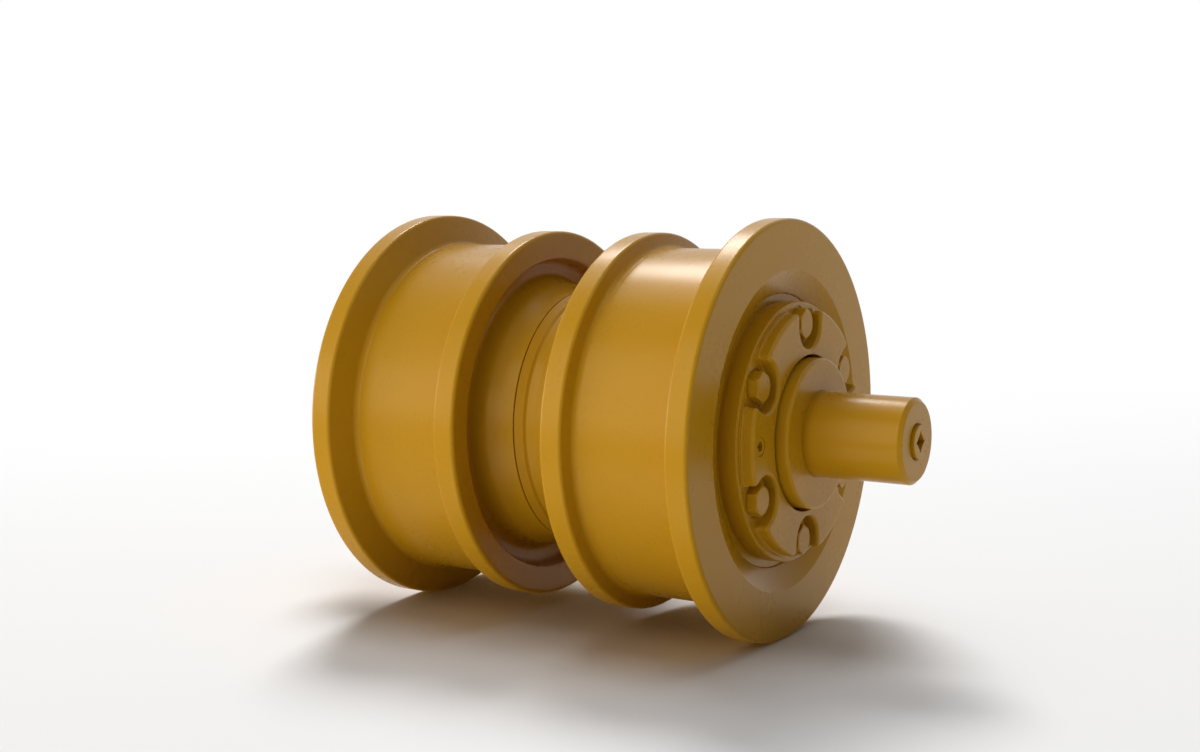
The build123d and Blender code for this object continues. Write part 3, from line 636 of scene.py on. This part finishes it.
def shaft_section():
    """Section of the shaft from the foot of the plug's hole to the centre drill of the far end."""
    plug_foot = PLUG_FRONT - PLUG_LENGTH
    hole = PLUG_RADIUS + PLUG_GAP
    half = [
        (SHAFT_END_RADIUS - SHAFT_END_CHAMFER, SHAFT_HALF_LENGTH, SHAFT_EDGE_ROUND),
        (SHAFT_END_RADIUS, SHAFT_HALF_LENGTH - SHAFT_END_CHAMFER, SHAFT_EDGE_ROUND),
        (SHAFT_END_RADIUS, COLLAR_SEAT_END, 0),
        (COLLAR_BORE_RADIUS, COLLAR_SEAT_END, 0),
        (COLLAR_BORE_RADIUS, COLLAR_INBOARD, 0),
        (JOURNAL_RADIUS - JOURNAL_CHAMFER, COLLAR_INBOARD, 0),
        (JOURNAL_RADIUS, COLLAR_INBOARD - JOURNAL_CHAMFER, 0),
        (JOURNAL_RADIUS, THRUST_FLANGE_HALF_WIDTH, 0),
        (THRUST_FLANGE_RADIUS, THRUST_FLANGE_HALF_WIDTH, THRUST_FLANGE_ROUND),
    ]
    far_half = [(radius, -station, rounding) for radius, station, rounding in reversed(half)]
    return rounded([
        (0, plug_foot, 0),
        (hole, plug_foot, 0),
        (hole, SHAFT_HALF_LENGTH - PLUG_MOUTH_CHAMFER, PLUG_MOUTH_ROUND),
        (hole + PLUG_MOUTH_CHAMFER, SHAFT_HALF_LENGTH, PLUG_MOUTH_ROUND),
        *half,
        *far_half,
        (CENTRE_DRILL_RADIUS, -SHAFT_HALF_LENGTH, CENTRE_DRILL_ROUND),
        (0, CENTRE_DRILL_DEPTH - SHAFT_HALF_LENGTH, 0),
    ], closed=False)


class Wire:
    """One output of a shader node. Sums, differences and products add Math nodes."""

    def __init__(self, graph, socket):
        self.graph = graph
        self.socket = socket

    def math(self, operation, first, second):
        return self.graph.node("ShaderNodeMath", {"operation": operation}, {0: first, 1: second})

    def __add__(self, other):
        return self.math("ADD", self, other)

    def __sub__(self, other):
        return self.math("SUBTRACT", self, other)

    def __mul__(self, other):
        return self.math("MULTIPLY", self, other)

    def __rsub__(self, other):
        return self.math("SUBTRACT", other, self)

    __radd__ = __add__
    __rmul__ = __mul__


class Graph:
    """Node tree of a material or of the world."""

    def __init__(self, owner):
        owner.use_nodes = True
        self.tree = owner.node_tree
        self.tree.nodes.clear()

    def node(self, kind, settings=None, inputs=None, output=0):
        """Adds a node, sets its settings, then the values or wires of its sockets."""
        made = self.tree.nodes.new(kind)
        for key, value in (settings or {}).items():
            setattr(made, key, value)
        for key, value in (inputs or {}).items():
            if isinstance(value, Wire):
                self.tree.links.new(value.socket, made.inputs[key])
            else:
                made.inputs[key].default_value = value
        return Wire(self, made.outputs[output]) if len(made.outputs) else None

    def axis(self, vector, index):
        """One coordinate of a vector, 0 for X, 1 for Y and 2 for Z."""
        return self.node("ShaderNodeSeparateXYZ", {}, {0: vector}, index)

    def bump(self, height):
        """Normal tilted by a height in metres."""
        return self.node(
            "ShaderNodeBump", {}, {"Height": height, "Strength": 1.0, "Distance": 1.0}
        )

    def noise(self, place, scale, detail=2.0, roughness=0.5):
        """Noise between 0 and 1 at a place, with a scale in waves to the metre."""
        return self.node(
            "ShaderNodeTexNoise", {},
            {"Vector": place, "Scale": scale, "Detail": detail, "Roughness": roughness},
        )

    def blend(self, factor, first, second):
        """Colour mixed from first to second by a factor."""
        return self.node(
            "ShaderNodeMix", {"data_type": "RGBA"}, {0: factor, 6: first, 7: second}, 2
        )


def object_place(graph):
    """Object coordinates of the surface, in metres."""
    return graph.node("ShaderNodeTexCoord", output="Object")


def finished(name, make):
    """Material whose surface shader make(graph) returns."""
    material = bpy.data.materials.new(name)
    graph = Graph(material)
    graph.node("ShaderNodeOutputMaterial", {}, {"Surface": make(graph)})
    return material


# Ochre paint. Patterns are in waves to the metre, and their depths and reliefs in metres
PAINT_DEEP = (0.428, 0.209, 0.0045, 1)
PAINT_LIGHT = (0.440, 0.216, 0.0052, 1)
PAINT_ROUGHNESS = 0.28
PAINT_IOR = 1.5
PAINT_SHINE = 0.19
PAINT_SHINE_TINT = (1.0, 0.82, 0.58, 1)
PAINT_MOTTLE_PER_METRE = 22
PAINT_MOTTLE_ROUGHNESS = 0.05
PAINT_PEEL_PER_METRE = 900
PAINT_PEEL_DEPTH = 0.000001
STEEL_WAVES_PER_METRE = 160
STEEL_WAVES_ROUGHNESS = 0.04
FORGING_RELIEF = 0.000002
MACHINED_RELIEF = 0.000001


def paint(name, relief):
    """Satin ochre paint with a faint mottle, an orange peel and the waves of the steel under it."""
    def make(graph):
        place = object_place(graph)
        mottle = graph.noise(place, PAINT_MOTTLE_PER_METRE, 3)
        peel = graph.noise(place, PAINT_PEEL_PER_METRE, 1)
        waves = graph.noise(place, STEEL_WAVES_PER_METRE, 3, 0.6)
        mottle_shift = PAINT_MOTTLE_ROUGHNESS * (mottle - 0.5)
        waves_shift = STEEL_WAVES_ROUGHNESS * (waves - 0.5)
        return graph.node("ShaderNodeBsdfPrincipled", {}, {
            "Base Color": graph.blend(mottle, PAINT_DEEP, PAINT_LIGHT),
            "Roughness": PAINT_ROUGHNESS + mottle_shift + waves_shift,
            "Normal": graph.bump(peel * PAINT_PEEL_DEPTH + waves * relief),
            "IOR": PAINT_IOR,
            "Specular IOR Level": PAINT_SHINE,
            "Specular Tint": PAINT_SHINE_TINT,
        })
    return finished(name, make)


# Machined metals inside the roller
MARKS_RADIANS_PER_METRE = 9000
MARKS_WANDER = 3
MARKS_WANDER_PER_METRE = 60
MARKS_DEPTH = 0.000004
MARKS_ROUGHNESS = 0.03
STAIN_PER_METRE = 45
STAIN_ROUGHNESS = 0.12


def ring_marks(graph, place):
    """Fine rings left by turning: the sine of a wave that grows with the distance from the shaft's
    axis and along it, plus a slow wander."""
    x, y, z = (graph.axis(place, index) for index in range(3))
    radius = graph.node("ShaderNodeMath", {"operation": "SQRT"}, {0: x * x + z * z})
    wander = graph.noise(place, MARKS_WANDER_PER_METRE, 2) * MARKS_WANDER
    wave = (radius + y) * MARKS_RADIANS_PER_METRE + wander
    return graph.node("ShaderNodeMath", {"operation": "SINE"}, {0: wave})


def turned_metal(name, light_shade, dark_shade, roughness):
    """Machined metal with turning marks and a slight stain."""
    def make(graph):
        place = object_place(graph)
        marks = ring_marks(graph, place)
        stain = graph.noise(place, STAIN_PER_METRE, 4, 0.6)
        stain_shift = STAIN_ROUGHNESS * (stain - 0.5)
        return graph.node("ShaderNodeBsdfPrincipled", {}, {
            "Base Color": graph.blend(stain, dark_shade, light_shade),
            "Metallic": 1.0,
            "Roughness": roughness + stain_shift + MARKS_ROUGHNESS * marks,
            "Normal": graph.bump(marks * MARKS_DEPTH),
        })
    return finished(name, make)


# Rubber of the seals
RUBBER_BLACK = (0.012, 0.012, 0.013, 1)
RUBBER_DUSTED = (0.03, 0.03, 0.031, 1)
RUBBER_ROUGHNESS = 0.7
DUST_PER_METRE = 70
DUST_ROUGHNESS = 0.1
GRAIN_PER_METRE = 1500
GRAIN_DEPTH = 0.00003


def seal_rubber():
    """Matt black rubber with a fine grain and a dusting of grey."""
    def make(graph):
        place = object_place(graph)
        grain = graph.noise(place, GRAIN_PER_METRE, 2)
        dust = graph.noise(place, DUST_PER_METRE, 3)
        return graph.node("ShaderNodeBsdfPrincipled", {}, {
            "Base Color": graph.blend(dust, RUBBER_BLACK, RUBBER_DUSTED),
            "Roughness": RUBBER_ROUGHNESS + DUST_ROUGHNESS * (dust - 0.5),
            "Normal": graph.bump(grain * GRAIN_DEPTH),
        })
    return finished("seal_rubber", make)


forged_paint = paint("ochre_paint_on_forging", FORGING_RELIEF)
machined_paint = paint("ochre_paint_on_machined_steel", MACHINED_RELIEF)
inner_finishes = {
    "bearing_bronze": turned_metal(
        "bearing_bronze",
        light_shade=(0.72, 0.45, 0.20, 1), dark_shade=(0.50, 0.30, 0.13, 1), roughness=0.32,
    ),
    "hardened_steel": turned_metal(
        "hardened_steel",
        light_shade=(0.55, 0.55, 0.56, 1), dark_shade=(0.38, 0.38, 0.40, 1), roughness=0.25,
    ),
    "lapped_iron": turned_metal(
        "lapped_iron",
        light_shade=(0.42, 0.42, 0.43, 1), dark_shade=(0.28, 0.28, 0.29, 1), roughness=0.3,
    ),
    "seal_rubber": seal_rubber(),
}

# Inner pieces keep their CAD meshes, with the finish of their slot
slots = {entry["node"]: entry["material_slot"] for entry in frame["record"]["subparts"]}
for node, slot in slots.items():
    if slot in inner_finishes:
        mesh = frame["nodes"][node].data
        mesh.materials.clear()
        mesh.materials.append(inner_finishes[slot])

# Painted pieces, at both ends and then in the middle
for end, direction in ENDS.items():
    piece(
        f"painted_shell_half_{end}", [turned(shell_section(), direction)],
        forged_paint, "roller", f"shell_half_{end}",
    )
    piece(
        f"painted_end_cover_{end}", cover_surfaces(direction),
        machined_paint, "roller", f"end_cover_{end}",
    )
    piece(
        f"painted_cover_bolts_{end}", bolt_surfaces(direction),
        machined_paint, "roller", f"cover_bolts_{end}",
    )
    piece(
        f"painted_jacking_screws_{end}", jacking_screw_surfaces(direction),
        machined_paint, "roller", f"jacking_screws_{end}",
    )
    piece(
        f"painted_collar_{end}", [turned(collar_section(), direction)],
        machined_paint, "shaft", f"collar_{end}",
    )
piece(
    "painted_centre_weld", [turned(weld_section(), 1)],
    forged_paint, "roller", "centre_weld",
)
piece(
    "painted_shaft", [turned(shaft_section(), ENDS["plug_end"], closed=False)],
    machined_paint, "shaft", "shaft",
)
piece(
    "painted_shaft_plug", plug_surfaces(ENDS["plug_end"]),
    machined_paint, "shaft", "shaft_plug",
)

# Studio floor, under the two outer flanges, in metres
FLOOR_HALF_WIDTH = 30.0
FLOOR_SHADE = (0.80, 0.80, 0.80, 1)
FLOOR_FADE_START = 0.9
FLOOR_FADE_LENGTH = 1.6


def seen(graph):
    """1 for rays of the camera, of reflections and of clear materials, and 0 for diffuse light."""
    camera_ray = graph.node("ShaderNodeLightPath", output="Is Camera Ray")
    glossy_ray = graph.node("ShaderNodeLightPath", output="Is Glossy Ray")
    clear_ray = graph.node("ShaderNodeLightPath", output="Is Transmission Ray")
    return camera_ray + glossy_ray + clear_ray


def floor_finish(graph):
    """Pale matt floor round the roller, which fades to the white of the background far away."""
    place = object_place(graph)
    distance = graph.node("ShaderNodeVectorMath", {"operation": "LENGTH"}, {0: place}, "Value")
    fade = graph.node(
        "ShaderNodeMapRange", {"interpolation_type": "SMOOTHSTEP"},
        {0: distance, 1: FLOOR_FADE_START, 2: FLOOR_FADE_START + FLOOR_FADE_LENGTH},
    )
    matt = graph.node("ShaderNodeBsdfDiffuse", {}, {"Color": FLOOR_SHADE})
    white = graph.node("ShaderNodeEmission", {}, {"Color": (1, 1, 1, 1), "Strength": 1.0})
    return graph.node("ShaderNodeMixShader", {}, {0: fade * seen(graph), 1: matt, 2: white})


def studio_floor():
    """Flat square under the roller, at the height of the flanges' lowest points."""
    height = -FLANGE_RADIUS * MM
    side = FLOOR_HALF_WIDTH
    across = [(-side, -side), (side, -side), (side, side), (-side, side)]
    corners = [(x, y, height) for x, y in across]
    mesh = bpy.data.meshes.new("studio_floor")
    mesh.from_pydata(corners, [], [(0, 1, 2, 3)])
    mesh.materials.append(finished("studio_floor", floor_finish))
    floor = bpy.data.objects.new("studio_floor", mesh)
    bpy.context.scene.collection.objects.link(floor)


# Lamps and sky. The sky's light starts and is full at these heights of a ray's direction
LIGHT_DISTANCE = 5.2
SKY_LIGHT = 0.26
SKY_START = 0.15
SKY_FULL = 0.55


def receivers(name, link_state):
    """Collection that makes a lamp light only the floor (INCLUDE) or all but it (EXCLUDE)."""
    group = bpy.data.collections.new(name)
    group.objects.link(bpy.data.objects["studio_floor"])
    group.collection_objects[0].light_linking.link_state = link_state
    return group


def place_light(light, heading, height, lit):
    """Stands a light at a heading from +X towards +Y and a height above the level of the shaft,
    both in degrees, so that it faces the roller. It lights all, or only what lit holds, and the
    floor doesn't block a light below it."""
    lamp = bpy.data.objects.new(light.name, light)
    out = Vector((
        cos(radians(heading)) * cos(radians(height)),
        sin(radians(heading)) * cos(radians(height)),
        sin(radians(height)),
    ))
    lamp.location = out * LIGHT_DISTANCE
    lamp.rotation_mode = "QUATERNION"
    lamp.rotation_quaternion = out.to_track_quat("Z", "Y")
    lamp.visible_camera = False
    if lit:
        lamp.light_linking.receiver_collection = lit
        lamp.light_linking.blocker_collection = all_but_floor if height < 0 else None
    bpy.context.scene.collection.objects.link(lamp)


def soft_box(name, heading, height, width, depth, brightness, lit=None):
    """Soft box of a width and a depth, with a power of pi * width * depth * brightness."""
    light = bpy.data.lights.new(name, "AREA")
    light.shape = "RECTANGLE"
    light.size = width
    light.size_y = depth
    light.energy = pi * width * depth * brightness
    place_light(light, heading, height, lit)


def even_light(name, heading, height, spread, strength, lit):
    """Light that comes from the same direction everywhere, with a spread in degrees."""
    light = bpy.data.lights.new(name, "SUN")
    light.angle = radians(spread)
    light.energy = strength
    place_light(light, heading, height, lit)


def studio_world():
    """White where it is seen, also in reflections. As light it is a soft grey sky that fades out
    towards the horizon, by the height of the ray's direction."""
    world = bpy.data.worlds.new("studio")
    bpy.context.scene.world = world
    graph = Graph(world)
    direction = graph.node("ShaderNodeTexCoord", output="Generated")
    rise = graph.axis(direction, 2)
    sky = graph.node(
        "ShaderNodeMapRange", {"interpolation_type": "SMOOTHSTEP"},
        {0: rise, 1: SKY_START, 2: SKY_FULL, 3: 0.0, 4: SKY_LIGHT},
    )
    ambient = graph.node("ShaderNodeBackground", {}, {"Color": (1, 1, 1, 1), "Strength": sky})
    white = graph.node("ShaderNodeBackground", {}, {"Color": (1, 1, 1, 1), "Strength": 1.0})
    graph.node(
        "ShaderNodeOutputWorld", {},
        {"Surface": graph.node("ShaderNodeMixShader", {}, {0: seen(graph), 1: ambient, 2: white})},
    )


# Camera of the photograph, fitted to its circles and edges. The place is in metres
CAMERA_PLACE = (-1.3304, -0.8256, 0.2063)
CAMERA_HEADING = radians(31.862)
CAMERA_DIP = radians(6.130)
CAMERA_LENS = 49.984
CAMERA_SENSOR_WIDTH = 36


def studio_camera():
    """Camera that aims along a heading from +X towards +Y, tilted down by its dip."""
    aim = Vector((
        cos(CAMERA_HEADING) * cos(CAMERA_DIP),
        sin(CAMERA_HEADING) * cos(CAMERA_DIP),
        -sin(CAMERA_DIP),
    ))
    data = bpy.data.cameras.new("camera")
    data.sensor_width = CAMERA_SENSOR_WIDTH
    data.lens = CAMERA_LENS
    camera = bpy.data.objects.new("camera", data)
    camera.location = CAMERA_PLACE
    camera.rotation_mode = "QUATERNION"
    camera.rotation_quaternion = aim.to_track_quat("-Z", "Y")
    bpy.context.scene.collection.objects.link(camera)
    bpy.context.scene.camera = camera


studio_floor()
studio_world()
studio_camera()

# The first two soft boxes light all. The low ones would wash out the shadow, so the floor has two
# even lights of its own in their stead. The last soft box is the light that a pale floor throws back
only_floor = receivers("only_floor", "INCLUDE")
all_but_floor = receivers("all_but_floor", "EXCLUDE")
soft_box("high_light", heading=41, height=52, width=1.3, depth=1.3, brightness=18.0)
soft_box("top_light", heading=60, height=68, width=2.4, depth=2.4, brightness=2.2)
soft_box(
    "front_light", heading=270, height=60, width=2.0, depth=2.0, brightness=2.0, lit=all_but_floor
)
soft_box(
    "back_light", heading=110, height=7, width=2.8, depth=1.6, brightness=6.0, lit=all_but_floor
)
soft_box(
    "left_light", heading=158, height=11, width=6.0, depth=2.6, brightness=2.5, lit=all_but_floor
)
soft_box(
    "upper_left_light",
    heading=155, height=36, width=2.8, depth=2.0, brightness=2.8, lit=all_but_floor,
)
soft_box(
    "floor_bounce_light",
    heading=165, height=-35, width=3.0, depth=3.0, brightness=1.5, lit=all_but_floor,
)
even_light("floor_light", heading=36, height=51, spread=22, strength=1.35, lit=only_floor)
even_light("floor_top_light", heading=0, height=90, spread=35, strength=0.6, lit=only_floor)
bpy.context.scene.view_settings.view_transform = "Standard"
